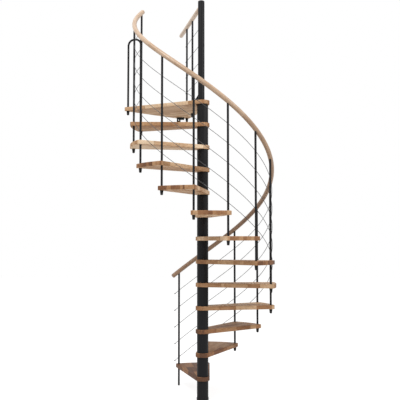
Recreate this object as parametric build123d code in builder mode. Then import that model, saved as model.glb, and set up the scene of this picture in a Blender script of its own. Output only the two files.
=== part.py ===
from build123d import *
import os
from math import acos, atan2, ceil, cos, degrees, hypot, radians, sin, sqrt

# A spiral staircase of the kit kind: a steel post on the floor, sleeves and beech treads
# threaded on it in turn, a landing on top, and a guard of round balusters with five taut
# wires and a round beech handrail. It climbs clockwise as seen from above.
# Millimetres, +Z up, origin on the floor at the post's axis. Angles run from +X.

# Climb
tread_count = 12
rise = 220.0
step_angle = 26.07
first_baluster_angle = 111.9

# Treads and landing
tread_radius = 700.0
tread_corner_margin = 30.012
tread_thickness = 38.0
tread_corner_round = 14.0
edge_break = 2.5
hub_radius = 67.0
landing_outer_beyond = 56.0
landing_outer_angle = 112.2
landing_back_beyond = 37.0
landing_back_angle = 101.7
landing_side_radius = 504.0
landing_side_angle = 97.5

# Post, sleeves and base
post_radius = 30.0
post_wall = 3.0
upper_post_radius = 32.0
upper_post_offset = 13.0
post_end_plate = 5.0
post_above_rail = 23.0
cap_height = 8.0
cap_break = 3.0
sleeve_radius = 54.0
sleeve_wall = 3.0
base_plate_thickness = 8.0
base_ring_radius = 57.5
base_ring_height = 24.0
ring_top_break = 2.0
anchor_circle_radius = 42.0
anchor_hole_radius = 5.5
anchor_count = 4
gusset_reach = 31.0
gusset_height = 58.0
gusset_thickness = 6.0

# Guard
baluster_inset = 35.0
baluster_radius = 10.0
foot_height = 42.0
foot_top_radius = 15.5
foot_bottom_radius = 11.5
rail_radius = 22.0
rail_height = 1182.0
rail_overrun_angles = (6.3, 2.3)
rail_end_break = 4.0
rail_bays = 3
rail_socket_depth = 10.0
wire_count = 5
wire_radius = 2.5
wire_sides = 6
first_wire_drop = 200.0
wire_spacing = 173.0
wire_overrun = 40.0
stop_radius = 5.0
stop_length = 14.0

# Guard on the landing
guard_angle = 103.9
guard_inner_radius = 441.0
guard_outer_beyond = 9.0
landing_rail_start = 15.0
landing_rail_reach = 1015.0
hoop_height = 698.0
hoop_bend = 60.0
hoop_straight = 18.0
hoop_turn = 5.7
hoop_tip_inset = 37.5
hoop_inner_distance = 26.0
hoop_inner_bearing = -43.0

# Bracket that ties the landing to the upper floor
bracket_end_inset = 7.0
bracket_edge_inset = 10.0
bracket_seat_width = 80.0
bracket_seat_depth = 60.0
bracket_flange_drop = 18.0
bracket_lug_width = 40.0
bracket_lug_drop = 40.0
bracket_plate = 5.0
bracket_hole_radius = 5.5

fit = 0.3

# Values that follow from the ones above
landing_top = (tread_count + 1) * rise
landing_underside = landing_top - tread_thickness
baluster_circle = tread_radius - baluster_inset
tread_half_width = baluster_circle * sin(radians(step_angle / 2)) + tread_corner_margin
tread_corner_along = sqrt(tread_radius**2 - tread_half_width**2)
guard_radii = (guard_inner_radius, tread_radius + guard_outer_beyond)
guard_rail_height = landing_top + rail_height - rise
post_top = guard_rail_height + post_above_rail


def polar(radius, angle):
    return (radius * cos(radians(angle)), radius * sin(radians(angle)))


def tangent_point(corner, side):
    """Where a straight edge from the corner touches the hub circle, on the given side."""
    distance = hypot(*corner)
    angle = degrees(atan2(corner[1], corner[0]))
    opening = degrees(acos(hub_radius / distance))
    return polar(hub_radius, angle + side * opening)


def baluster_angle(index):
    return first_baluster_angle - index * step_angle


def baluster_point(index):
    return polar(baluster_circle, baluster_angle(index))


def rail_centre(index):
    """Height of the handrail's centre line over the baluster with this index."""
    return index * rise + rail_height


def shifted(point, distance, direction):
    """The point that lies this far from another in a level direction."""
    step = polar(distance, direction)
    return (point[0] + step[0], point[1] + step[1])


# The first tread's middle lies half a step past the first baluster, and each tread's side
# passes inside its baluster by the same angle on the landing too.
side_angle = degrees(atan2(tread_half_width, tread_corner_along))
hub_lead = degrees(acos(hub_radius / tread_radius))
tread_side_direction = side_angle + hub_lead - 90.0
landing_front_direction = baluster_angle(tread_count) - (step_angle / 2 - tread_side_direction)
front_tangent = polar(hub_radius, landing_front_direction + 90.0)

# The hoop stands beside the last baluster, nearly parallel to the landing's front side, and
# the landing's tip lies just past it.
last_baluster = baluster_point(tread_count)
hoop_span = 2 * hoop_bend + hoop_straight
hoop_inner = shifted(last_baluster, hoop_inner_distance, landing_front_direction + hoop_inner_bearing)
hoop_direction = landing_front_direction + hoop_turn
hoop_outer = shifted(hoop_inner, hoop_span, hoop_direction)
hoop_along = Vector(*hoop_outer).dot(Vector(*polar(1.0, landing_front_direction)))
landing_tip = shifted(front_tangent, hoop_along + hoop_tip_inset, landing_front_direction)

os.makedirs("parts", exist_ok=True)


def save(part, name):
    part.label = name
    export_step(part, "parts/" + name + ".step")


# Base: a round plate under the post, drilled for its floor anchors, and a cover ring
with BuildPart() as base_plate:
    with BuildSketch(Plane.XY):
        Circle(sleeve_radius)
        with PolarLocations(anchor_circle_radius, anchor_count, start_angle=45.0):
            Circle(anchor_hole_radius, mode=Mode.SUBTRACT)
    extrude(amount=base_plate_thickness)
save(base_plate.part, "base_plate")

with BuildPart() as base_ring:
    with BuildSketch(Plane.XY):
        Circle(base_ring_radius)
        Circle(sleeve_radius + fit, mode=Mode.SUBTRACT)
    extrude(amount=base_ring_height)
    ring_top = base_ring.faces().sort_by(Axis.Z)[-1]
    chamfer(ring_top.outer_wire().edges(), ring_top_break)
save(base_ring.part, "base_ring")

# Post: a tube from the base plate to the landing's top, that all the treads are threaded on.
# A plate closes its upper end.
with BuildPart() as centre_post:
    with BuildSketch(Plane.XY.offset(base_plate_thickness)):
        Circle(post_radius)
    extrude(amount=landing_top - base_plate_thickness)
    with BuildSketch(Plane.XY.offset(base_plate_thickness)):
        Circle(post_radius - post_wall)
    extrude(amount=landing_top - base_plate_thickness - post_end_plate, mode=Mode.SUBTRACT)
save(centre_post.part, "centre_post")

# Upper post: a tube that stands on the landing's hub and on that plate, a little off the
# axis. A plate closes its foot, and a cap its top above the guard.
upper_post_place = (-upper_post_offset, 0.0)
with BuildPart() as upper_post:
    with BuildSketch(Plane.XY.offset(landing_top)):
        with Locations(upper_post_place):
            Circle(upper_post_radius)
    extrude(amount=post_top - landing_top)
    with BuildSketch(Plane.XY.offset(landing_top + post_end_plate)):
        with Locations(upper_post_place):
            Circle(upper_post_radius - post_wall)
    extrude(amount=post_top - landing_top - post_end_plate, mode=Mode.SUBTRACT)
save(upper_post.part, "upper_post")

with BuildPart() as post_cap:
    with BuildSketch(Plane.XY.offset(post_top)):
        with Locations(upper_post_place):
            Circle(upper_post_radius)
    extrude(amount=cap_height)
    chamfer(post_cap.faces().sort_by(Axis.Z)[-1].edges(), cap_break)
save(post_cap.part, "post_cap")

# Gusset: a triangular plate that braces the upper post on the landing
upper_post_side = -upper_post_offset - upper_post_radius
with BuildPart() as post_gusset:
    with BuildSketch(Plane.XZ):
        with BuildLine():
            Polyline(
                (upper_post_side - fit, landing_top),
                (upper_post_side - gusset_reach, landing_top),
                (upper_post_side - gusset_reach, landing_top + gusset_thickness),
                (upper_post_side - fit, landing_top + gusset_height),
                close=True,
            )
        make_face()
    extrude(amount=gusset_thickness / 2, both=True)
save(post_gusset.part, "post_gusset")

# Sleeves: steel tubes clamped between the wooden hubs, so that they carry the treads.
# The lowest stands on the base plate, over the anchors' heads.
with BuildPart() as column_sleeves:
    for index in range(tread_count + 1):
        sleeve_bottom = index * rise if index else base_plate_thickness
        sleeve_top = (index + 1) * rise - tread_thickness
        with BuildSketch(Plane.XY.offset(sleeve_bottom)):
            Circle(sleeve_radius)
            Circle(sleeve_radius - sleeve_wall, mode=Mode.SUBTRACT)
        extrude(amount=sleeve_top - sleeve_bottom)
save(column_sleeves.part, "column_sleeves")


def soften(plank):
    """Break the long edges of a plank, above and below."""
    level_faces = plank.faces().filter_by(Axis.Z).sort_by(Axis.Z)
    rims = level_faces[0].outer_wire().edges() + level_faces[-1].outer_wire().edges()
    chamfer(rims, edge_break)


# Treads: wedges of glued beech staves, each a hub ring with sides that leave it as tangents.
# A baluster passes through either outer corner, shared with the tread above or below.
for number in range(1, tread_count + 1):
    middle_angle = first_baluster_angle - (number - 0.5) * step_angle
    outer_front = (tread_corner_along, tread_half_width)
    outer_back = (tread_corner_along, -tread_half_width)
    hub_front = tangent_point(outer_front, 1)
    hub_back = tangent_point(outer_back, -1)
    with BuildPart() as tread:
        with BuildSketch(Plane.XY.offset(number * rise).rotated((0, 0, middle_angle))) as wedge:
            with BuildLine():
                Line(hub_front, outer_front)
                ThreePointArc(outer_front, (tread_radius, 0), outer_back)
                Line(outer_back, hub_back)
                ThreePointArc(hub_back, (-hub_radius, 0), hub_front)
            make_face()
            fillet(wedge.vertices().sort_by_distance((0, 0, number * rise))[-2:], tread_corner_round)
            Circle(post_radius + fit, mode=Mode.SUBTRACT)
            with Locations(polar(baluster_circle, step_angle / 2), polar(baluster_circle, -step_angle / 2)):
                Circle(baluster_radius + fit, mode=Mode.SUBTRACT)
        extrude(amount=-tread_thickness)
        soften(tread)
    save(tread.part, "tread_" + str(number).zfill(2))

# Landing: one wide plank on the same hub, with its front side set as a tread's
outer_corner = polar(tread_radius + landing_outer_beyond, landing_outer_angle)
back_corner = polar(tread_radius + landing_back_beyond, landing_back_angle)
side_corner = polar(landing_side_radius, landing_side_angle)
hub_side = tangent_point(side_corner, -1)
hub_away = polar(hub_radius, first_baluster_angle + 180.0)
guard_points = [polar(radius, guard_angle) for radius in guard_radii]
with BuildPart() as landing:
    with BuildSketch(Plane.XY.offset(landing_top)) as plank:
        with BuildLine():
            Polyline(front_tangent, landing_tip, outer_corner, back_corner, side_corner, hub_side)
            ThreePointArc(hub_side, hub_away, front_tangent)
        make_face()
        fillet(plank.vertices().sort_by_distance((0, 0, landing_top))[2:], tread_corner_round)
        Circle(post_radius + fit, mode=Mode.SUBTRACT)
        with Locations(last_baluster, hoop_outer, hoop_inner, *guard_points):
            Circle(baluster_radius + fit, mode=Mode.SUBTRACT)
    extrude(amount=-tread_thickness)
    soften(landing)
save(landing.part, "landing")

# Bracket: an angle under the landing's far edge. Its seat is screwed to the plank, and its
# flange runs down into a lug that is drilled for a bolt into the edge of the upper floor.
bracket_corner = (outer_corner[0] + bracket_end_inset, outer_corner[1] - bracket_edge_inset)
lug_middle = (bracket_corner[0] + bracket_lug_width / 2, landing_underside - bracket_lug_drop / 2)
with BuildPart() as landing_bracket:
    with BuildSketch(Plane.XY.offset(landing_underside)):
        with Locations(bracket_corner):
            Rectangle(bracket_seat_width, bracket_seat_depth, align=(Align.MIN, Align.MAX))
    extrude(amount=-bracket_plate)
    with BuildSketch(Plane.XZ.offset(-bracket_corner[1])):
        with Locations((bracket_corner[0], landing_underside)):
            Rectangle(bracket_seat_width, bracket_flange_drop, align=(Align.MIN, Align.MAX))
        with Locations(lug_middle):
            Rectangle(bracket_lug_width, bracket_lug_drop)
            Circle(bracket_hole_radius, mode=Mode.SUBTRACT)
    extrude(amount=bracket_plate)
save(landing_bracket.part, "landing_bracket")

# Balusters: round bars, each through two treads, from its foot to a socket in the handrail.
# The first stands on the floor.
bar_rise = rail_height - rail_radius + rail_socket_depth - fit
for index in range(tread_count + 1):
    bar_bottom = index * rise - tread_thickness if index else 0.0
    with BuildPart() as baluster:
        with BuildSketch(Plane.XY.offset(bar_bottom)):
            with Locations(baluster_point(index)):
                Circle(baluster_radius)
        extrude(amount=index * rise + bar_rise - bar_bottom)
    save(baluster.part, "baluster_" + str(index + 1).zfill(2))

with BuildPart() as landing_balusters:
    with BuildSketch(Plane.XY.offset(landing_underside)):
        with Locations(*guard_points):
            Circle(baluster_radius)
    extrude(amount=tread_count * rise + bar_rise - landing_underside)
save(landing_balusters.part, "landing_balusters")

# Feet: black cones under the treads and the landing, each screwed into the bar above it
foot_seats = [(*baluster_point(index), index * rise - tread_thickness) for index in range(1, tread_count + 1)]
foot_seats += [(*point, landing_underside) for point in (hoop_outer, *guard_points)]
with BuildPart() as baluster_feet:
    with Locations(*foot_seats):
        Cone(foot_bottom_radius, foot_top_radius, foot_height, align=(Align.CENTER, Align.CENTER, Align.MAX))
save(baluster_feet.part, "baluster_feet")

# Hoop: one bent tube that closes the guard at the landing's tip
hoop_plane = Plane(
    origin=(*hoop_outer, landing_underside),
    x_dir=(*polar(-1.0, hoop_direction), 0),
    z_dir=(*polar(1.0, hoop_direction + 90.0), 0),
)
hoop_length = landing_top + hoop_height - landing_underside
with BuildPart() as guard_hoop:
    with BuildLine(hoop_plane) as hoop_path:
        FilletPolyline(
            (0, 0),
            (0, hoop_length),
            (hoop_span, hoop_length),
            (hoop_span, tread_thickness / 2),
            radius=hoop_bend,
        )
    with BuildSketch(Plane(hoop_path.line @ 0, z_dir=(0, 0, 1))):
        Circle(baluster_radius)
    sweep()
save(guard_hoop.part, "guard_hoop")

# Handrail: a round beech rail in a left-handed helix, in lengths that meet mid-bay. Its
# centre line is a chain of arcs in space, each tangent to the next, no longer than a bay.
def rail_point(index):
    return Vector(*baluster_point(index), rail_centre(index))


def rail_corner(index, next_index):
    """Where the tangents at the two ends of one arc of the centre line meet."""
    middle = (index + next_index) / 2
    half_turn = radians((next_index - index) * step_angle / 2)
    corner_circle = baluster_circle / cos(half_turn)
    return Vector(*polar(corner_circle, baluster_angle(middle)), rail_centre(middle))


first_overrun, last_overrun = (angle / step_angle for angle in rail_overrun_angles)
inner_joints = [joint + 0.5 for joint in range(rail_bays, tread_count - 1, rail_bays)]
rail_joints = [-first_overrun, *inner_joints, tread_count + last_overrun]
for number, (joint, next_joint) in enumerate(zip(rail_joints, rail_joints[1:]), 1):
    arc_count = ceil(next_joint - joint)
    arc_span = (next_joint - joint) / arc_count
    arc_ends = [joint + arc * arc_span for arc in range(arc_count + 1)]
    with BuildPart() as handrail:
        with BuildLine() as centre_line:
            for index, next_index in zip(arc_ends, arc_ends[1:]):
                start = rail_point(index)
                TangentArc(start, rail_point(next_index), tangent=rail_corner(index, next_index) - start)
        with BuildSketch(Plane(rail_point(joint), z_dir=rail_corner(*arc_ends[:2]) - rail_point(joint))):
            Circle(rail_radius)
        sweep()
        if joint < 0:
            chamfer(handrail.faces().sort_by_distance(rail_point(joint))[0].edges(), rail_end_break)
        if next_joint > tread_count:
            chamfer(handrail.faces().sort_by_distance(rail_point(next_joint))[0].edges(), rail_end_break)
        for index in range(tread_count + 1):
            if joint < index < next_joint:
                with BuildSketch(Plane((*baluster_point(index), rail_centre(index) - 2 * rail_radius))):
                    Circle(baluster_radius + fit)
                extrude(amount=rail_radius + rail_socket_depth, mode=Mode.SUBTRACT)
    save(handrail.part, "handrail_" + str(number))

# Rail over the landing: straight, coped to the upper post and carried by two balusters
guard_direction = Plane(
    origin=(*polar(landing_rail_start, guard_angle), guard_rail_height),
    x_dir=(0, 0, 1),
    z_dir=(*polar(1.0, guard_angle), 0),
)
with BuildPart() as landing_rail:
    with BuildSketch(guard_direction):
        Circle(rail_radius)
    extrude(amount=landing_rail_reach - landing_rail_start)
    outer_end = landing_rail.faces().sort_by(Axis((0, 0, 0), guard_direction.z_dir))[-1]
    chamfer(outer_end.edges(), rail_end_break)
    with BuildSketch(Plane.XY.offset(guard_rail_height - 2 * rail_radius)):
        with Locations(upper_post_place):
            Circle(upper_post_radius + fit)
    extrude(amount=4 * rail_radius, mode=Mode.SUBTRACT)
    with BuildSketch(Plane.XY.offset(guard_rail_height - 2 * rail_radius)):
        with Locations(*guard_points):
            Circle(baluster_radius + fit)
    extrude(amount=rail_radius + rail_socket_depth, mode=Mode.SUBTRACT)
save(landing_rail.part, "landing_rail")


def wire_run(start, end, start_post, end_post):
    """One straight run of wire between two points, up to the round posts that stand there."""
    run = Vector(*end) - Vector(*start)
    direction = run.normalized()
    level = hypot(run.X, run.Y)
    slope_reach = wire_radius * run.Z / level
    start_gap = (start_post + fit + slope_reach) * run.length / level if start_post else 0.0
    end_gap = (end_post + fit + slope_reach) * run.length / level if end_post else 0.0
    with BuildSketch(Plane(Vector(*start) + direction * start_gap, z_dir=direction)) as section:
        RegularPolygon(wire_radius, wire_sides)
    extrude(section.sketch, amount=run.length - start_gap - end_gap)


def wire_stop(start, direction):
    """A short stop that ends a wire, crimped to as many flats as the wire is drawn with."""
    with BuildSketch(Plane(start, z_dir=direction)) as section:
        RegularPolygon(stop_radius, wire_sides)
    extrude(section.sketch, amount=stop_length)


# Wires: five taut stainless wires up the guard, straight from baluster to baluster
def wire_height(index, wire):
    return rail_centre(index) - first_wire_drop - wire * wire_spacing


overrun_share = wire_overrun / (baluster_circle * radians(step_angle))
wire_stations = [-overrun_share, *range(tread_count + 1)]
with BuildPart() as stair_wires:
    for wire in range(wire_count):
        for station, next_station in zip(wire_stations, wire_stations[1:]):
            wire_run(
                (*baluster_point(station), wire_height(station, wire)),
                (*baluster_point(next_station), wire_height(next_station, wire)),
                baluster_radius if station >= 0 else 0.0,
                baluster_radius,
            )
save(stair_wires.part, "stair_wires")

# The guard's line leaves the upper post at the far side of its round section.
guard_along = -upper_post_offset * cos(radians(guard_angle))
guard_across = upper_post_offset * sin(radians(guard_angle))
post_depth = sqrt((upper_post_radius + fit) ** 2 - guard_across**2)
post_exit = guard_along + post_depth + wire_radius * guard_across / post_depth
guard_stations = [post_exit, *guard_radii, guard_radii[-1] + wire_overrun]
with BuildPart() as landing_wires:
    for wire in range(wire_count):
        for station, (radius, next_radius) in enumerate(zip(guard_stations, guard_stations[1:])):
            wire_run(
                (*polar(radius, guard_angle), wire_height(tread_count, wire)),
                (*polar(next_radius, guard_angle), wire_height(tread_count, wire)),
                baluster_radius if station else 0.0,
                baluster_radius if station < len(guard_radii) else 0.0,
            )
save(landing_wires.part, "landing_wires")

with BuildPart() as wire_stops:
    for wire in range(wire_count):
        stop_point = Vector(*baluster_point(-overrun_share), wire_height(-overrun_share, wire))
        first_bar_point = Vector(*baluster_point(0), wire_height(0, wire))
        wire_stop(stop_point, stop_point - first_bar_point)
        wire_stop(
            Vector(*polar(guard_stations[-1], guard_angle), wire_height(tread_count, wire)),
            Vector(*polar(1.0, guard_angle), 0),
        )
save(wire_stops.part, "wire_stops")
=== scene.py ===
import math

import bpy
import numpy as np
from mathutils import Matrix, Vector
from mathutils.geometry import tessellate_polygon


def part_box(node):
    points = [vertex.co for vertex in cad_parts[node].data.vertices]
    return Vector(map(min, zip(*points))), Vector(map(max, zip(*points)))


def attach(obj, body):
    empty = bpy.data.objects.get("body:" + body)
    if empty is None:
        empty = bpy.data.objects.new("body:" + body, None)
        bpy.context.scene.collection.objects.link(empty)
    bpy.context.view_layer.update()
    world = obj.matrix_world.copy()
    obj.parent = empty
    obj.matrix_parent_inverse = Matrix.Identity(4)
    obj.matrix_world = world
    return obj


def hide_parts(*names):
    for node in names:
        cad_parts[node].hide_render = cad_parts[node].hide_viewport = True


# Metres, +Z up, origin on the floor at the post's axis.
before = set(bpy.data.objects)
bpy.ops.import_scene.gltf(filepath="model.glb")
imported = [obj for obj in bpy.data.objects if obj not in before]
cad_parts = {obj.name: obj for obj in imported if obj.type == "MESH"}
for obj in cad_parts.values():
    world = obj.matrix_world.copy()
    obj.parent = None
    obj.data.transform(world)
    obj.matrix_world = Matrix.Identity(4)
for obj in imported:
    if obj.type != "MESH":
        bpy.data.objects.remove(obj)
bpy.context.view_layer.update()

# The camera stands 6.2 m in front of the post, 1.5 m up, and looks slightly up, as the
# photograph does. Its lens is the fitted focal length in pixels, over the picture's width.
picture_width = 400
focal_pixels = 642.05
sensor_width = 36.0
camera_place = (0.0, -6.178, 1.495)
camera_pitch = 3.683
camera_turn = 0.234
camera_data = bpy.data.cameras.new("camera")
camera_data.sensor_width = sensor_width
camera_data.lens = sensor_width * focal_pixels / picture_width
camera = bpy.data.objects.new("camera", camera_data)
camera.location = camera_place
camera.rotation_euler = (math.radians(90 + camera_pitch), 0.0, math.radians(camera_turn))
bpy.context.scene.collection.objects.link(camera)
bpy.context.scene.camera = camera


# The centre post is a steel tube with a plate in its upper end, and the treads are threaded
# on it. Steel parts are welded, blasted and coated with satin black powder, baked on.
post_radius = 0.030
post_wall = 0.003
post_edge = 0.0006
end_plate = 0.005
fit = 0.0003
coat_gloss = 0.14
cloud_scale = 14.0


def skin(centres, radii, across, up, closed=False, sides=64):
    """A tube: point(i, a) = centre(i) + radius(i) * (across(i) * cos a + up(i) * sin a).

    centres are n points, radii n numbers, across and up unit vectors square to the path.
    Returns points, faces and, for each point, its length along the path and its angle.
    """
    centres = np.asarray(centres, float)
    count = len(centres)
    radii = np.broadcast_to(np.asarray(radii, float), count)
    across = np.broadcast_to(np.asarray(across, float), (count, 3))
    up = np.broadcast_to(np.asarray(up, float), (count, 3))
    angle = np.linspace(0, 2 * np.pi, sides, endpoint=False)
    ring = across[:, None] * np.cos(angle)[None, :, None] + up[:, None] * np.sin(angle)[None, :, None]
    points = centres[:, None] + radii[:, None, None] * ring
    row = np.arange(count if closed else count - 1)[:, None] * sides
    next_row = (row + sides) % (count * sides)
    column = np.arange(sides)[None, :]
    next_column = (column + 1) % sides
    quads = np.stack([row + column, row + next_column, next_row + next_column, next_row + column], -1)
    faces = quads.reshape(-1, 4).tolist()
    if not closed:
        faces.append(list(range(sides - 1, -1, -1)))
        faces.append(list(range((count - 1) * sides, count * sides)))
    steps = np.linalg.norm(np.diff(centres, axis=0), axis=1)
    along = np.concatenate([[0], np.cumsum(steps)])
    grain = np.stack(np.broadcast_arrays(
        along[:, None], radii[:, None] * np.cos(angle), radii[:, None] * np.sin(angle)), -1)
    return points.reshape(-1, 3), faces, grain.reshape(-1, 3)


def turned(profile, x=0.0, y=0.0, closed=False):
    """A turned part: a profile of (radius, height) pairs carried round an upright axis at x, y."""
    profile = np.asarray(profile, float)
    centres = np.stack([np.full(len(profile), x), np.full(len(profile), y), profile[:, 1]], -1)
    return skin(centres, profile[:, 0], (1, 0, 0), (0, 1, 0), closed)


def piece(name, shells, material, slot, *nodes, sharp=40, tone=0.5):
    """Joins shells into one piece that rides on the stair and stands for the nodes it names.

    tone says how dark the wood is, from 0, the palest beech, to 1, the brownest, at each point or all
    over. On the treads and the rails it also holds painted shade.
    """
    points, faces, grain, first = [], [], [], 0
    for shell_points, shell_faces, shell_grain in shells:
        points.append(shell_points)
        grain.append(shell_grain)
        faces += [[first + index for index in face] for face in shell_faces]
        first += len(shell_points)
    mesh = bpy.data.meshes.new(name)
    mesh.from_pydata(np.concatenate(points).tolist(), [], faces)
    attribute = mesh.attributes.new("grain", "FLOAT_VECTOR", "POINT")
    attribute.data.foreach_set("vector", np.concatenate(grain).astype(np.float32).ravel())
    attribute = mesh.attributes.new("tone", "FLOAT", "POINT")
    attribute.data.foreach_set("value", np.broadcast_to(tone, len(mesh.vertices)).astype(np.float32))
    mesh.polygons.foreach_set("use_smooth", np.ones(len(faces), bool))
    mesh.set_sharp_from_angle(angle=math.radians(sharp))
    mesh.materials.append(material)
    made = bpy.data.objects.new(name, mesh)
    bpy.context.scene.collection.objects.link(made)
    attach(made, "root")
    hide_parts(*nodes)
    return made


class Finish:
    """A material of plain nodes, with its surface shader at hand."""

    def __init__(self, name):
        self.material = bpy.data.materials.new(name)
        self.material.use_nodes = True
        self.tree = self.material.node_tree
        self.shader = self.tree.nodes["Principled BSDF"]

    def node(self, kind, **settings):
        made = self.tree.nodes.new(kind)
        for name, value in settings.items():
            setattr(made, name, value)
        return made

    def join(self, output, target):
        self.tree.links.new(output, target)

    def math(self, operation, first, second=None):
        made = self.node("ShaderNodeMath", operation=operation)
        for socket, value in zip(made.inputs, (first, second)):
            if isinstance(value, (int, float)):
                socket.default_value = value
            elif value is not None:
                self.join(value, socket)
        return made.outputs[0]

    def noise(self, vector, scale, detail=2.0, roughness=0.5):
        made = self.node("ShaderNodeTexNoise")
        made.inputs["Scale"].default_value = scale
        made.inputs["Detail"].default_value = detail
        made.inputs["Roughness"].default_value = roughness
        self.join(vector, made.inputs["Vector"])
        return made.outputs["Fac"]

    def spread(self, value, low, high):
        """Carries 0 to 1 over to low to high."""
        made = self.node("ShaderNodeMapRange")
        self.join(value, made.inputs["Value"])
        made.inputs["To Min"].default_value = low
        made.inputs["To Max"].default_value = high
        return made.outputs["Result"]

    def bump(self, height, distance):
        made = self.node("ShaderNodeBump")
        made.inputs["Distance"].default_value = distance
        made.inputs["Strength"].default_value = 1.0
        self.join(height, made.inputs["Height"])
        self.join(made.outputs["Normal"], self.shader.inputs["Normal"])

    def place(self):
        return self.node("ShaderNodeTexCoord").outputs["Object"]


def coated(name, colour, low_rough, high_rough, peel, peel_depth):
    """Powder coat or moulded plastic: a dark even colour, faint clouds in the sheen, a fine peel."""
    finish = Finish(name)
    finish.shader.inputs["Base Color"].default_value = (*colour, 1)
    finish.shader.inputs["Specular IOR Level"].default_value = coat_gloss
    clouds = finish.noise(finish.place(), cloud_scale, detail=3.0)
    finish.join(finish.spread(clouds, low_rough, high_rough), finish.shader.inputs["Roughness"])
    finish.bump(finish.noise(finish.place(), peel), peel_depth)
    return finish.material


black_coat = coated("satin_black_coat", (0.008, 0.008, 0.009),
                    low_rough=0.42, high_rough=0.60, peel=900.0, peel_depth=0.0002)
post_low, post_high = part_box("centre_post")
inner_radius = post_radius - post_wall
post_profile = [
    (inner_radius, post_high.z - end_plate), (inner_radius, post_low.z),
    (post_radius, post_low.z), (post_radius, post_high.z - post_edge),
    (post_radius - post_edge, post_high.z),
]
piece("centre_post_tube", [turned(post_profile)], black_coat, "black_steel", "centre_post")


# The upper post is a second tube, closed by a plate at its foot. It stands on the landing's
# hub, a little off the axis, and carries the guard's straight rail.
upper_low, upper_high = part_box("upper_post")
upper_radius = (upper_high.x - upper_low.x) / 2
upper_x = (upper_low.x + upper_high.x) / 2
upper_inner = upper_radius - post_wall
upper_profile = [
    (upper_radius, upper_low.z), (upper_radius, upper_high.z - post_edge),
    (upper_radius - post_edge, upper_high.z), (upper_inner, upper_high.z),
    (upper_inner, upper_low.z + end_plate),
]
piece("upper_post_tube", [turned(upper_profile, upper_x)], black_coat, "black_steel", "upper_post")


# The cap is a shallow moulded plug pressed on the upper post, with a well rounded rim.
cap_round = 0.0075
rim_steps = 7
black_plastic = coated("moulded_black_plastic", (0.010, 0.010, 0.010),
                       low_rough=0.45, high_rough=0.60, peel=420.0, peel_depth=0.00012)
cap_low, cap_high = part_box("post_cap")


def rounded_rim(radius, height, edge, facing=1):
    """A quarter circle from the side of a turned part onto its end, which faces up (1) or down (-1).

    (radius, height) at t is (r - e + e cos t, h + facing (e sin t - e)).
    """
    turn = np.linspace(0, np.pi / 2, rim_steps)
    heights = height + facing * (edge * np.sin(turn) - edge)
    return np.stack([radius - edge + edge * np.cos(turn), heights], -1)


cap_profile = [(upper_radius, cap_low.z), *rounded_rim(upper_radius, cap_high.z, cap_round)]
piece("post_cap_plug", [turned(cap_profile, upper_x)], black_plastic, "black_plastic", "post_cap")


# The gusset, base plate and bracket are flat steel, cut, drilled and coated as the post is.
# Their solids are right as they are, so they only take the finish.
for name in ("post_gusset", "base_plate", "landing_bracket"):
    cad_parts[name].data.materials.clear()
    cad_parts[name].data.materials.append(black_coat)


# Thirteen sleeves are thin steel tubes with faintly broken ends. They are threaded on the
# post between the wooden hubs and carry the treads.
sleeve_radius = 0.054
sleeve_wall = 0.003
sleeve_edge = 0.0008
rise = 0.220
tread_thickness = 0.038
tread_count = 12
base_thickness = 0.008
sleeves = []
for index in range(tread_count + 1):
    foot = max(index * rise, base_thickness)
    head = (index + 1) * rise - tread_thickness
    sleeves.append(turned([
        (sleeve_radius - sleeve_edge, foot), (sleeve_radius, foot + sleeve_edge),
        (sleeve_radius, head - sleeve_edge), (sleeve_radius - sleeve_edge, head),
        (sleeve_radius - sleeve_wall, head), (sleeve_radius - sleeve_wall, foot),
    ], closed=True))
piece("column_sleeve_tubes", sleeves, black_coat, "black_steel", "column_sleeves")


# The cover ring is a moulded collar that hides the base plate's edge on the floor.
ring_low, ring_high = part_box("base_ring")
ring_radius = ring_high.x
ring_bore = sleeve_radius + fit
ring_round = 0.003
ring_profile = [
    (ring_radius, ring_low.z), *rounded_rim(ring_radius, ring_high.z, ring_round),
    (ring_bore, ring_high.z), (ring_bore, ring_low.z),
]
ring_shell = turned(ring_profile, closed=True)
piece("base_cover_ring", [ring_shell], black_plastic, "black_plastic", "base_ring")


# Treads and landing are planks of beech staves, about 40 mm wide and butted end to end,
# glued, planed and sawn to a wedge with a hub ring, then bored, rounded over and lacquered.
tread_radius = 0.700
tread_half_width = 0.180
hub_radius = 0.067
corner_round = 0.014
edge_round = 0.004
baluster_circle = 0.665
baluster_radius = 0.010
baluster_bore = baluster_radius + fit
post_bore = post_radius + fit
step_angle = math.radians(26.07)
first_angle = math.radians(111.9)
hole_sides = 32
edge_steps = 6
corner_steps = 8
least_area = 1e-12
stave_width = 0.042
stave_length = 0.24
stave_drift = 0.42
end_grain_tone = 0.40
log_shift = (1.137, 0.847, 2.0)
stave_jump = (3.0, 3.0, 3.0)
ring_stretch = (4.0, 60.0, 34.0)
ring_drift = 0.40
ring_shades = (1.18, 0.80)
fleck_stretch = (150.0, 900.0, 500.0)
fleck_shades = (1.12, 0.86)
fleck_relief = 0.4
grain_relief = 0.00025
seam_half_width = 0.00035
seam_shade = 0.62


def round_corner(before, corner, after):
    """The arc tangent to both sides of a corner, its points turned evenly about its centre."""
    before, corner, after = (np.asarray(point, float) for point in (before, corner, after))
    back = (before - corner) / np.linalg.norm(before - corner)
    onward = (after - corner) / np.linalg.norm(after - corner)
    half = math.acos(float(back @ onward)) / 2
    centre = corner + (back + onward) / np.linalg.norm(back + onward) * corner_round / math.sin(half)
    start = corner + back * corner_round / math.tan(half) - centre
    end = corner + onward * corner_round / math.tan(half) - centre
    turn = math.pi - 2 * half
    share = np.linspace(0, 1, corner_steps)[:, None]
    return centre + (np.sin((1 - share) * turn) * start + np.sin(share * turn) * end) / math.sin(turn)


def polar(radius, angle):
    """The point at a radius and an angle from the post's axis."""
    return np.array([radius * math.cos(angle), radius * math.sin(angle)])


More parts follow.
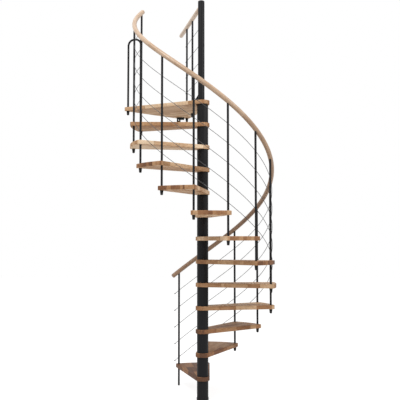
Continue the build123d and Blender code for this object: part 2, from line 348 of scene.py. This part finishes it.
def arc(radius, start, end, steps):
    """Points of a circle about the post's axis, from one angle to another."""
    angle = np.linspace(start, end, steps)
    return radius * np.stack([np.cos(angle), np.sin(angle)], -1)


def plank(outline, holes, top, turn, seed):
    """A plank from its outline, seen from above, with a quarter-round edge above and below.

    edge point(j, t) = outline(j) - e (1 - sin t) normal(j), at height top - e (1 - cos t).
    Its grain runs along the outline's own x axis, and it is turned by an angle into place.
    The second result says how much of a point's face is end grain: |normal_x(j)| sin t.
    """
    count = len(outline)
    ahead = np.roll(outline, -1, 0) - outline
    ahead /= np.linalg.norm(ahead, axis=1)[:, None]
    direction = ahead + np.roll(ahead, 1, 0)
    direction /= np.linalg.norm(direction, axis=1)[:, None]
    normal = np.stack([direction[:, 1], -direction[:, 0]], -1)
    t = np.linspace(0, np.pi / 2, edge_steps)
    slope = np.sin(np.concatenate([t, t[::-1]]))
    end_grain = (slope[:, None] * np.abs(normal[None, :, 0])).ravel()
    inset = edge_round * (1 - np.sin(t))
    drop = edge_round * (1 - np.cos(t))
    inset = np.concatenate([inset, inset[::-1]])
    height = np.concatenate([top - drop, top - tread_thickness + drop[::-1]])
    rings = np.concatenate([
        outline[None] - inset[:, None, None] * normal[None],
        np.broadcast_to(height[:, None, None], (len(height), count, 1)),
    ], -1)
    row = np.arange(len(height) - 1)[:, None] * count
    column = np.arange(count)[None, :]
    following = (column + 1) % count
    below = row + count
    quads = np.stack([row + column, below + column, below + following, row + following], -1)
    points = [rings.reshape(-1, 3)]
    faces = quads.reshape(-1, 4).tolist()
    top_ids = [list(range(count))]
    low_ids = [list(range((len(height) - 1) * count, len(height) * count))]
    top_loops = [rings[0, :, :2]]
    low_loops = [rings[-1, :, :2]]
    first = len(height) * count
    angle = np.linspace(0, 2 * np.pi, hole_sides, endpoint=False)
    for x, y, radius in holes:
        loop = np.stack([x + radius * np.cos(angle), y + radius * np.sin(angle)], -1)
        for level in (top, top - tread_thickness):
            points.append(np.concatenate([loop, np.full((hole_sides, 1), level)], -1))
        column = np.arange(hole_sides)
        following = (column + 1) % hole_sides
        wall = np.stack([first + column, first + following, first + hole_sides + following,
                         first + hole_sides + column], -1)
        faces += wall.tolist()
        top_ids.append(list(range(first, first + hole_sides)))
        low_ids.append(list(range(first + hole_sides, first + 2 * hole_sides)))
        top_loops.append(loop)
        low_loops.append(loop)
        first += 2 * hole_sides
    for loops, ids, faces_up in ((top_loops, top_ids, True), (low_loops, low_ids, False)):
        flat = np.concatenate(loops)
        names = np.concatenate(ids)
        triples = np.array(tessellate_polygon([[Vector((x, y, 0)) for x, y in loop] for loop in loops]))
        a, b, c = flat[triples[:, 0]], flat[triples[:, 1]], flat[triples[:, 2]]
        area = (b[:, 0] - a[:, 0]) * (c[:, 1] - a[:, 1]) - (b[:, 1] - a[:, 1]) * (c[:, 0] - a[:, 0])
        real = np.abs(area) > least_area
        triples = triples[real]
        wrong = (area[real] > 0) != faces_up
        triples[wrong] = triples[wrong][:, ::-1]
        faces += names[triples].tolist()
    flat_points = np.concatenate(points)
    grain = flat_points - (0, 0, top) + (seed * np.array(log_shift) + (0, 0.5 * stave_width, 0))
    cos, sin = math.cos(turn), math.sin(turn)
    placed = flat_points @ np.array([[cos, sin, 0], [-sin, cos, 0], [0, 0, 1]])
    end_grain = np.concatenate([end_grain, np.zeros(len(placed) - len(end_grain))])
    return (placed, faces, grain), end_grain


def beech(name, staves, tones, width, length, gloss, smooth, rough):
    """Lacquered beech. Each piece of wood has its own tone, which on the treads and rails also holds
    painted shade, and each stave in it departs a little from that, its grain is a noise drawn out along
    it, short flecks lie in it, and hairlines show the glued joints.
    """
    finish = Finish(name)
    source = finish.node("ShaderNodeAttribute", attribute_name="grain").outputs["Vector"]
    split = finish.node("ShaderNodeSeparateXYZ")
    finish.join(source, split.inputs[0])
    along, over = split.outputs[:2]
    row = finish.math("FLOOR", finish.math("DIVIDE", over, width))
    row_random = finish.node("ShaderNodeTexWhiteNoise", noise_dimensions="1D")
    finish.join(row, row_random.inputs["W"])
    lane = finish.math("ADD", finish.math("DIVIDE", along, length), row_random.outputs["Value"])
    number = finish.math("FLOOR", lane)
    cell = finish.node("ShaderNodeCombineXYZ")
    finish.join(row, cell.inputs[0])
    finish.join(number, cell.inputs[1])
    stave_random = finish.node("ShaderNodeTexWhiteNoise", noise_dimensions="3D")
    finish.join(cell.outputs[0], stave_random.inputs["Vector"])

    shifted = finish.node("ShaderNodeVectorMath", operation="MULTIPLY_ADD")
    finish.join(stave_random.outputs["Color"], shifted.inputs[0])
    shifted.inputs[1].default_value = stave_jump
    finish.join(source, shifted.inputs[2])
    drawn = finish.node("ShaderNodeVectorMath", operation="MULTIPLY")
    finish.join(shifted.outputs[0], drawn.inputs[0])
    drawn.inputs[1].default_value = ring_stretch
    rings = finish.noise(drawn.outputs[0], scale=1.6, detail=4.0, roughness=0.6)
    flecked = finish.node("ShaderNodeVectorMath", operation="MULTIPLY")
    finish.join(shifted.outputs[0], flecked.inputs[0])
    flecked.inputs[1].default_value = fleck_stretch
    flecks = finish.noise(flecked.outputs[0], scale=1.0, detail=1.0)

    # The tone attribute is the wood's own tone, with painted shade added on the treads and rails.
    own = finish.node("ShaderNodeAttribute", attribute_name="tone").outputs["Fac"]
    drift = stave_random.outputs["Value"] if staves else finish.noise(drawn.outputs[0], scale=0.25)
    tone = own
    for change, share in ((drift, stave_drift), (rings, ring_drift)):
        change = finish.math("MULTIPLY", finish.math("SUBTRACT", change, 0.5), share)
        tone = finish.math("ADD", tone, change)
    ramp = finish.node("ShaderNodeValToRGB")
    finish.join(tone, ramp.inputs["Fac"])
    ramp.color_ramp.elements[0].position = tones[0][0]
    ramp.color_ramp.elements[0].color = (*tones[0][1], 1)
    ramp.color_ramp.elements[1].position = tones[-1][0]
    ramp.color_ramp.elements[1].color = (*tones[-1][1], 1)
    for position, colour in tones[1:-1]:
        ramp.color_ramp.elements.new(position).color = (*colour, 1)

    fleck_shade = finish.spread(flecks, *fleck_shades)
    shade = finish.math("MULTIPLY", finish.spread(rings, *ring_shades), fleck_shade)
    if staves:
        seams = []
        for value, size in ((finish.math("DIVIDE", over, width), width), (lane, length)):
            part = finish.math("FRACT", value)
            near = finish.math("MINIMUM", part, finish.math("SUBTRACT", 1.0, part))
            distance = finish.math("MULTIPLY", near, size)
            seams.append(finish.math("LESS_THAN", distance, seam_half_width))
        seam = finish.math("MAXIMUM", *seams)
        shade = finish.math("MULTIPLY", shade, finish.spread(seam, 1.0, seam_shade))
    colour = finish.node("ShaderNodeMix", data_type="RGBA", blend_type="MULTIPLY")
    colour.inputs["Factor"].default_value = 1.0
    finish.join(ramp.outputs["Color"], colour.inputs["A"])
    finish.join(shade, colour.inputs["B"])
    finish.join(colour.outputs["Result"], finish.shader.inputs["Base Color"])
    finish.join(finish.spread(rings, smooth, rough), finish.shader.inputs["Roughness"])
    finish.shader.inputs["Specular IOR Level"].default_value = gloss
    finish.bump(finish.math("ADD", rings, finish.math("MULTIPLY", flecks, fleck_relief)), grain_relief)
    return finish.material


tread_beech = beech("tread_beech_staves", staves=True, tones=(
    (0.0, (0.68, 0.52, 0.36)), (0.25, (0.53, 0.35, 0.21)), (0.45, (0.40, 0.24, 0.13)),
    (0.65, (0.29, 0.148, 0.073)), (0.85, (0.18, 0.083, 0.042)), (1.0, (0.11, 0.055, 0.033)),
), width=stave_width, length=stave_length, gloss=0.08, smooth=0.46, rough=0.62)
# Each tread's tone is partly its wood's own and partly painted shade: the lowest treads are made darker
# for the shade they stand in under the treads above.
tread_tones_and_shade = (0.86, 0.62, 0.56, 0.36, 0.40, 0.46, 0.27, 0.24, 0.32, 0.34, 0.0, 0.48)

corner_along = math.sqrt(tread_radius**2 - tread_half_width**2)
corner_angle = math.atan2(tread_half_width, corner_along)
hub_angle = corner_angle + math.acos(hub_radius / tread_radius)
front = (corner_along, tread_half_width)
back = (corner_along, -tread_half_width)
hub_arc = arc(hub_radius, hub_angle, 2 * math.pi - hub_angle, steps=36)
tip_arc = arc(tread_radius, -corner_angle, corner_angle, steps=13)
tread_outline = np.concatenate([
    round_corner(hub_arc[-1], back, tip_arc[1]), tip_arc[2:-2],
    round_corner(tip_arc[-2], front, hub_arc[0]), hub_arc,
])
bores = [
    (0.0, 0.0, post_bore),
    (*polar(baluster_circle, step_angle / 2), baluster_bore),
    (*polar(baluster_circle, -step_angle / 2), baluster_bore),
]
for number in range(1, tread_count + 1):
    node = "tread_" + str(number).zfill(2)
    middle = first_angle - (number - 0.5) * step_angle
    shell, end_grain = plank(tread_outline, bores, number * rise, middle, number)
    tone = tread_tones_and_shade[number - 1] + end_grain_tone * end_grain
    piece(node + "_plank", [shell], tread_beech, "tread_beech", node, tone=tone)


# The landing is one wide plank of the same beech on the same hub. Its front side is set as
# a tread's, and its far side is cut back at the corners.
landing_top = (tread_count + 1) * rise
landing_underside = landing_top - tread_thickness
landing_tone = 0.28
outer_corner_place = (0.756, math.radians(112.2))
back_corner_place = (0.737, math.radians(101.7))
side_corner_place = (0.504, math.radians(97.5))
front_direction = first_angle - tread_count * step_angle - (
    step_angle / 2 - (hub_angle - math.pi / 2))

# The hoop's two holes lie beside the last baluster's and near the tip.
hoop_bend = 0.060
hoop_straight = 0.018
hoop_span = 2 * hoop_bend + hoop_straight
hoop_direction = front_direction + math.radians(5.7)
hoop_gap = 0.026
hoop_bearing = math.radians(43)
tip_inset = 0.0375
last_baluster = polar(baluster_circle, first_angle - tread_count * step_angle)
hoop_inner = last_baluster + polar(hoop_gap, front_direction - hoop_bearing)
hoop_outer = hoop_inner + polar(hoop_span, hoop_direction)
landing_reach = float(hoop_outer @ polar(1.0, front_direction)) + tip_inset
front_tangent = polar(hub_radius, front_direction + math.pi / 2)
landing_tip = front_tangent + polar(landing_reach, front_direction)
side_radius, side_bearing = side_corner_place
side_angle = side_bearing - math.acos(hub_radius / side_radius)
landing_corners = [
    front_tangent, landing_tip, polar(*outer_corner_place), polar(*back_corner_place),
    polar(*side_corner_place), polar(hub_radius, side_angle),
]
landing_rounds = [
    round_corner(*landing_corners[index - 1:index + 2])[::-1] for index in range(4, 0, -1)
]
hub_back = arc(hub_radius, front_direction + math.pi / 2, side_angle + 2 * math.pi, steps=40)
landing_outline = np.concatenate([*landing_rounds, hub_back])
guard_angle = math.radians(103.9)
guard_radii = (0.441, 0.709)
turn_back = np.array([[math.cos(front_direction), -math.sin(front_direction)],
                      [math.sin(front_direction), math.cos(front_direction)]])
guard_points = [polar(radius, guard_angle) for radius in guard_radii]
landing_bores = [(0.0, 0.0, post_bore)]
for point in (last_baluster, hoop_outer, hoop_inner, *guard_points):
    landing_bores.append((*(point @ turn_back), baluster_bore))
landing_shell, end_grain = plank(
    landing_outline @ turn_back, landing_bores, landing_top, front_direction, tread_count + 1)
piece("landing_plank", [landing_shell], tread_beech, "tread_beech", "landing",
      tone=landing_tone + end_grain_tone * end_grain)


# Balusters are round steel bars, coated black. The first goes through the first tread to the
# floor, the others through the corners of two planks, and all end in sockets of the handrail.
bar_edge = 0.0008


def bar(x, y, low, high):
    """An upright round bar with its ends faintly broken."""
    return turned([
        (baluster_radius - bar_edge, low), (baluster_radius, low + bar_edge),
        (baluster_radius, high - bar_edge), (baluster_radius - bar_edge, high),
    ], x, y)


for index in range(tread_count + 1):
    node = "baluster_" + str(index + 1).zfill(2)
    low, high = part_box(node)
    x, y = polar(baluster_circle, first_angle - index * step_angle)
    piece(node + "_bar", [bar(x, y, low.z, high.z)], black_coat, "black_steel", node)
low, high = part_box("landing_balusters")
landing_bars = [bar(*point, low.z, high.z) for point in guard_points]
piece("landing_baluster_bars", landing_bars, black_coat, "black_steel", "landing_balusters")


# Feet are moulded black cones with a round nose, screwed from below to the bars that end
# under a tread or the landing. The first baluster stands on the floor without one.
foot_height = 0.042
foot_top_radius = 0.0155
foot_low_radius = 0.0115
foot_nose = 0.006
foot_edge = 0.001


def foot_profile(top):
    nose = rounded_rim(foot_low_radius, top - foot_height, foot_nose, facing=-1)[::-1]
    return [*nose, (foot_top_radius, top - foot_edge), (foot_top_radius - foot_edge, top)]


feet = []
for index in range(1, tread_count + 1):
    place = polar(baluster_circle, first_angle - index * step_angle)
    feet.append(turned(foot_profile(index * rise - tread_thickness), *place))
for place in (hoop_outer, *guard_points):
    feet.append(turned(foot_profile(landing_underside), *place))
piece("baluster_foot_cones", feet, black_plastic, "black_plastic", "baluster_feet")


# The hoop is one steel tube bent over twice. It closes the guard at the landing's tip.
hoop_height = 0.698
bend_steps = 14
hoop_across = np.array([*polar(-1.0, hoop_direction), 0.0])
upright = np.array([0.0, 0.0, 1.0])
hoop_top = landing_top + hoop_height
angle = np.linspace(np.pi, np.pi / 2, bend_steps)
bend_centre = (hoop_bend, hoop_top - hoop_bend)
first_bend = bend_centre + hoop_bend * np.stack([np.cos(angle), np.sin(angle)], -1)
second_bend = first_bend[::-1] * (-1, 1) + (hoop_span, 0)
hoop_line = np.concatenate([
    [(0.0, landing_underside)], first_bend, second_bend, [(hoop_span, landing_top - tread_thickness / 2)],
])
heading = np.concatenate([[np.pi / 2], angle - np.pi / 2, angle - np.pi, [-np.pi / 2]])
hoop_points = np.array([*hoop_outer, 0.0]) + hoop_line[:, :1] * hoop_across + hoop_line[:, 1:] * upright
hoop_side = np.cross(hoop_across, upright)
hoop_up = np.cos(heading)[:, None] * upright - np.sin(heading)[:, None] * hoop_across
hoop_shell = skin(hoop_points, baluster_radius, hoop_side, -hoop_up)
piece("guard_hoop_tube", [hoop_shell], black_coat, "black_steel", "guard_hoop")


# The handrail is a round beech rail bent to a left-handed helix, in four lengths that butt
# end to end midway between two balusters, and lacquered, glossier than the treads.
rail_radius = 0.022
rail_height = 1.182
first_overrun = math.radians(6.3) / step_angle
last_overrun = math.radians(2.3) / step_angle
rail_bays = 3
rail_end_round = 0.007
joint_round = 0.0004
points_per_bay = 16
# The lengths' tones are partly their own and partly painted shade: the lower lengths are made darker for
# the shade they hang in.
rail_tones_and_shade = (0.80, 0.64, 0.46, 0.36)
rail_log_shift = (2.0, 1.3, 0.0)
rail_beech = beech("rail_beech", staves=False, tones=(
    (0.0, (0.65, 0.51, 0.39)), (0.5, (0.38, 0.255, 0.165)), (1.0, (0.19, 0.105, 0.065)),
), width=stave_width, length=stave_length, gloss=0.35, smooth=0.28, rough=0.42)


def rail_length(start, end, start_round, end_round):
    """A stretch of the helix: (R cos f, R sin f, h0 + k rise), with f = f0 - k step at bay k.

    The ends close over a quarter circle, so the stations crowd there as 1 - cos t.
    """
    sweep = baluster_circle * step_angle
    run = math.hypot(sweep, rise)
    t = np.linspace(0, np.pi / 2, rim_steps)
    start_along = start_round * (1 - np.cos(t))
    end_along = (end - start) * run - end_round * (1 - np.cos(t))[::-1]
    middle = np.linspace(start_along[-1], end_along[0], int((end - start) * points_per_bay))[1:-1]
    along = np.concatenate([start_along, middle, end_along])
    radii = np.concatenate([
        rail_radius - start_round * (1 - np.sin(t)), np.full(len(middle), rail_radius),
        rail_radius - end_round * (1 - np.sin(t))[::-1],
    ])
    bay = start + along / run
    turn = first_angle - bay * step_angle
    outward = np.stack([np.cos(turn), np.sin(turn), np.zeros_like(turn)], -1)
    ahead = np.stack([np.sin(turn) * sweep, -np.cos(turn) * sweep, np.full_like(turn, rise)], -1) / run
    centres = baluster_circle * outward + (rail_height + bay * rise)[:, None] * upright
    return skin(centres, radii, outward, np.cross(ahead, outward))


inner_joints = [bay + 0.5 for bay in range(rail_bays, tread_count - 1, rail_bays)]
rail_joints = [-first_overrun, *inner_joints, tread_count + last_overrun]
for number, (start, end) in enumerate(zip(rail_joints, rail_joints[1:]), 1):
    start_round = rail_end_round if start < 0 else joint_round
    end_round = rail_end_round if end > tread_count else joint_round
    points, faces, grain = rail_length(start, end, start_round, end_round)
    shell = points, faces, grain + number * np.array(rail_log_shift)
    node = "handrail_" + str(number)
    piece(node + "_rail", [shell], rail_beech, "rail_beech", node, tone=rail_tones_and_shade[number - 1])


# The rail over the landing is straight. Its inner end is coped, that is cut hollow, to fit
# round the post, and two balusters carry it.
guard_rail_height = landing_top + rail_height - rise
guard_rail_reach = 1.015
guard_rail_start = 0.015
# The landing's rail takes the palest tone, partly its own and partly the top end of the rails' painted
# shade.
guard_rail_tone = 0.15
guard_log_shift = (9.0, 7.7, 0.0)
rail_sides = 64
angle = np.linspace(0, 2 * np.pi, rail_sides, endpoint=False)
rail_ahead = np.array([*polar(1.0, guard_angle), 0.0])
rail_side = np.cross(upright, rail_ahead)
t = np.linspace(0, np.pi / 2, rim_steps)
end_along = guard_rail_reach - rail_end_round * (1 - np.cos(t))[::-1]
end_radii = rail_radius - rail_end_round * (1 - np.sin(t))[::-1]
centres = np.array([0, 0, guard_rail_height]) + np.concatenate([[0.0], end_along])[:, None] * rail_ahead
radii = np.concatenate([[rail_radius], end_radii])
points, faces, grain = skin(centres, radii, rail_side, upright, sides=rail_sides)
beside = rail_radius * np.cos(angle) - upper_x * rail_side[0]
cope = upper_x * rail_ahead[0] + np.sqrt(np.maximum((upper_radius + fit) ** 2 - beside**2, 0))
cope = np.maximum(cope, guard_rail_start)
points[:rail_sides] += cope[:, None] * rail_ahead
grain[:rail_sides, 0] += cope
guard_rail_shell = points, faces, grain + guard_log_shift
piece("landing_guard_rail", [guard_rail_shell], rail_beech, "rail_beech", "landing_rail",
      tone=guard_rail_tone)


# Five stainless wire ropes climb with the handrail, threaded through every baluster, and
# follow its curve, as the photograph shows. Five level ones guard the landing.
wire_radius = 0.0025
wire_count = 5
first_wire_drop = 0.200
wire_spacing = 0.173
wire_overrun = 0.040
strands = 6
lay = 0.030
wire_sides = 12
points_per_wire_bay = 8


def stainless_finish(name, colour, low_rough, high_rough, rope):
    """Bright drawn stainless steel. On a rope, the strands are a wave wound about its length."""
    finish = Finish(name)
    finish.shader.inputs["Metallic"].default_value = 1.0
    finish.shader.inputs["Base Color"].default_value = (*colour, 1)
    clouds = finish.noise(finish.place(), scale=60.0, detail=3.0)
    finish.join(finish.spread(clouds, low_rough, high_rough), finish.shader.inputs["Roughness"])
    if rope:
        split = finish.node("ShaderNodeSeparateXYZ")
        source = finish.node("ShaderNodeAttribute", attribute_name="grain")
        finish.join(source.outputs["Vector"], split.inputs[0])
        along, over, deep = split.outputs
        around = finish.math("ARCTAN2", deep, over)
        wound = finish.math("ADD", finish.math("MULTIPLY", around, strands / 2),
                            finish.math("MULTIPLY", along, math.pi * strands / lay))
        finish.bump(finish.math("ABSOLUTE", finish.math("SINE", wound)), distance=0.0004)
    else:
        finish.bump(finish.noise(finish.place(), scale=2500.0, detail=1.0), distance=0.0001)
    return finish.material


# The rope's dark colour is partly painted shade between its strands.
wire_steel = stainless_finish(
    "stainless_wire_rope", (0.085, 0.085, 0.088), low_rough=0.28, high_rough=0.40, rope=True)


def rope(points):
    """A rope along a row of points, each ring square to the mean of the two runs it joins."""
    points = np.asarray(points, float)
    ahead = np.diff(points, axis=0)
    ahead /= np.linalg.norm(ahead, axis=1)[:, None]
    mean = np.concatenate([ahead[:1], ahead[:-1] + ahead[1:], ahead[-1:]])
    mean /= np.linalg.norm(mean, axis=1)[:, None]
    side = np.cross(mean, upright)
    side /= np.linalg.norm(side, axis=1)[:, None]
    return skin(points, wire_radius, side, np.cross(mean, side), sides=wire_sides)


def on_stair(bay, wire):
    height = rail_height + bay * rise - first_wire_drop - wire * wire_spacing
    return (*polar(baluster_circle, first_angle - bay * step_angle), height)


def on_landing(radius, wire):
    height = rail_height + tread_count * rise - first_wire_drop - wire * wire_spacing
    return (*polar(radius, guard_angle), height)


lead = wire_overrun / (baluster_circle * step_angle)
bays = (-lead, *np.arange(tread_count * points_per_wire_bay + 1) / points_per_wire_bay)
stair_ropes = [rope([on_stair(bay, wire) for bay in bays]) for wire in range(wire_count)]
piece("stair_wire_ropes", stair_ropes, wire_steel, "stainless", "stair_wires", sharp=60)
rope_end = guard_radii[-1] + wire_overrun
landing_stations = (post_radius, *guard_radii, rope_end)
landing_ropes = [
    rope([on_landing(radius, wire) for radius in landing_stations]) for wire in range(wire_count)]
piece("landing_wire_ropes", landing_ropes, wire_steel, "stainless", "landing_wires", sharp=60)


# A short stop is crimped on the free end of each rope. The die leaves it six flats between
# two round shoulders.
stop_radius = 0.005
stop_length = 0.014
stop_sides = 36
stop_steel = stainless_finish(
    "crimped_stop_steel", (0.13, 0.13, 0.135), low_rough=0.34, high_rough=0.5, rope=False)


def crimped(start, direction):
    """A stop from a point outwards: rounded at both ends, and pressed to flats between them.

    radius(s, a) = R (1 - d (1 - cos 6a) / 2), with d the depth of the flats at station s.
    """
    direction = np.asarray(direction, float) / np.linalg.norm(direction)
    side = np.cross(direction, upright)
    side /= np.linalg.norm(side)
    share = np.array([0, 0.02, 0.06, 0.12, 0.2, 0.3, 0.7, 0.8, 0.88, 0.94, 0.98, 1.0])
    round_off = np.array([0.7, 0.86, 0.95, 1, 1, 1, 1, 1, 1, 0.95, 0.86, 0.7])
    depth = np.array([0, 0, 0, 0, 0.05, 0.13, 0.13, 0.05, 0, 0, 0, 0])
    centres = np.asarray(start) + share[:, None] * stop_length * direction
    radii = stop_radius * round_off
    points, faces, grain = skin(centres, radii, side, np.cross(direction, side), sides=stop_sides)
    angle = np.linspace(0, 2 * np.pi, stop_sides, endpoint=False)
    press = 1 - depth[:, None] * (1 - np.cos(6 * angle)) / 2
    rings = points.reshape(len(share), stop_sides, 3)
    pressed = centres[:, None] + (rings - centres[:, None]) * press[..., None]
    return pressed.reshape(-1, 3), faces, grain


stops = []
for wire in range(wire_count):
    end = np.array(on_stair(-lead, wire))
    stops.append(crimped(end, end - np.array(on_stair(0, wire))))
    stops.append(crimped(on_landing(rope_end, wire), rail_ahead))
piece("wire_stop_crimps", stops, stop_steel, "stainless", "wire_stops")


# A plain white studio: a wide floor that keeps the stair's soft shadow, a white surround,
# one large soft lamp high on the left and a weaker one on the right.
floor_half = 20.0
paper_colour = (0.92, 0.92, 0.92, 1)
seen_grey = (0.35, 0.35, 0.35, 1)
seen_glow = 0.80
world_light = 0.64
lamp_target = (0.0, 0.0, 1.8)
floor_mesh = bpy.data.meshes.new("studio_floor")
floor_corners = [(floor_half * x, floor_half * y, 0) for x, y in ((-1, -1), (1, -1), (1, 1), (-1, 1))]
floor_mesh.from_pydata(floor_corners, [], [(0, 1, 2, 3)])
floor = bpy.data.objects.new("studio_floor", floor_mesh)
bpy.context.scene.collection.objects.link(floor)
paper = Finish("studio_paper")
paper.shader.inputs["Base Color"].default_value = paper_colour
paper.shader.inputs["Roughness"].default_value = 0.9
paper.shader.inputs["Specular IOR Level"].default_value = 0.0
seen = paper.node("ShaderNodeLightPath")
sight = paper.math("MAXIMUM", seen.outputs["Is Camera Ray"], seen.outputs["Is Glossy Ray"])
sight = paper.math("MAXIMUM", sight, seen.outputs["Is Transmission Ray"])
lit = paper.node("ShaderNodeBsdfDiffuse")
lit.inputs["Color"].default_value = seen_grey
glow = paper.node("ShaderNodeEmission")
glow.inputs["Strength"].default_value = seen_glow
both = paper.node("ShaderNodeAddShader")
paper.join(lit.outputs[0], both.inputs[0])
paper.join(glow.outputs[0], both.inputs[1])
choice = paper.node("ShaderNodeMixShader")
paper.join(sight, choice.inputs[0])
paper.join(paper.shader.outputs[0], choice.inputs[1])
paper.join(both.outputs[0], choice.inputs[2])
paper.join(choice.outputs[0], paper.tree.nodes["Material Output"].inputs["Surface"])
floor_mesh.materials.append(paper.material)

surround = bpy.data.worlds.new("studio_surround")
surround.use_nodes = True
tree = surround.node_tree
light = tree.nodes["Background"]
light.inputs["Color"].default_value = (1.0, 1.0, 1.0, 1)
light.inputs["Strength"].default_value = world_light
white = tree.nodes.new("ShaderNodeBackground")
white.inputs["Color"].default_value = (1.0, 1.0, 1.0, 1)
white.inputs["Strength"].default_value = 1.0
path = tree.nodes.new("ShaderNodeLightPath")
sight = path.outputs["Is Camera Ray"]
for ray in ("Is Transmission Ray", "Is Glossy Ray"):
    either = tree.nodes.new("ShaderNodeMath")
    either.operation = "MAXIMUM"
    tree.links.new(sight, either.inputs[0])
    tree.links.new(path.outputs[ray], either.inputs[1])
    sight = either.outputs[0]
mixed = tree.nodes.new("ShaderNodeMixShader")
tree.links.new(sight, mixed.inputs[0])
tree.links.new(light.outputs[0], mixed.inputs[1])
tree.links.new(white.outputs[0], mixed.inputs[2])
tree.links.new(mixed.outputs[0], tree.nodes["World Output"].inputs["Surface"])
bpy.context.scene.world = surround


def soft_lamp(name, place, target, size, power):
    """A square soft lamp that faces a point."""
    data = bpy.data.lights.new(name, "AREA")
    data.shape = "SQUARE"
    data.size = size
    data.energy = power
    lamp = bpy.data.objects.new(name, data)
    lamp.location = place
    lamp.rotation_euler = (Vector(target) - Vector(place)).to_track_quat("-Z", "Y").to_euler()
    bpy.context.scene.collection.objects.link(lamp)


soft_lamp("key_lamp", (-2.5, -3.5, 7.5), lamp_target, size=3.0, power=330)
soft_lamp("fill_lamp", (4.5, -3.0, 5.0), lamp_target, size=2.0, power=170)
bpy.context.scene.view_settings.view_transform = "Standard"
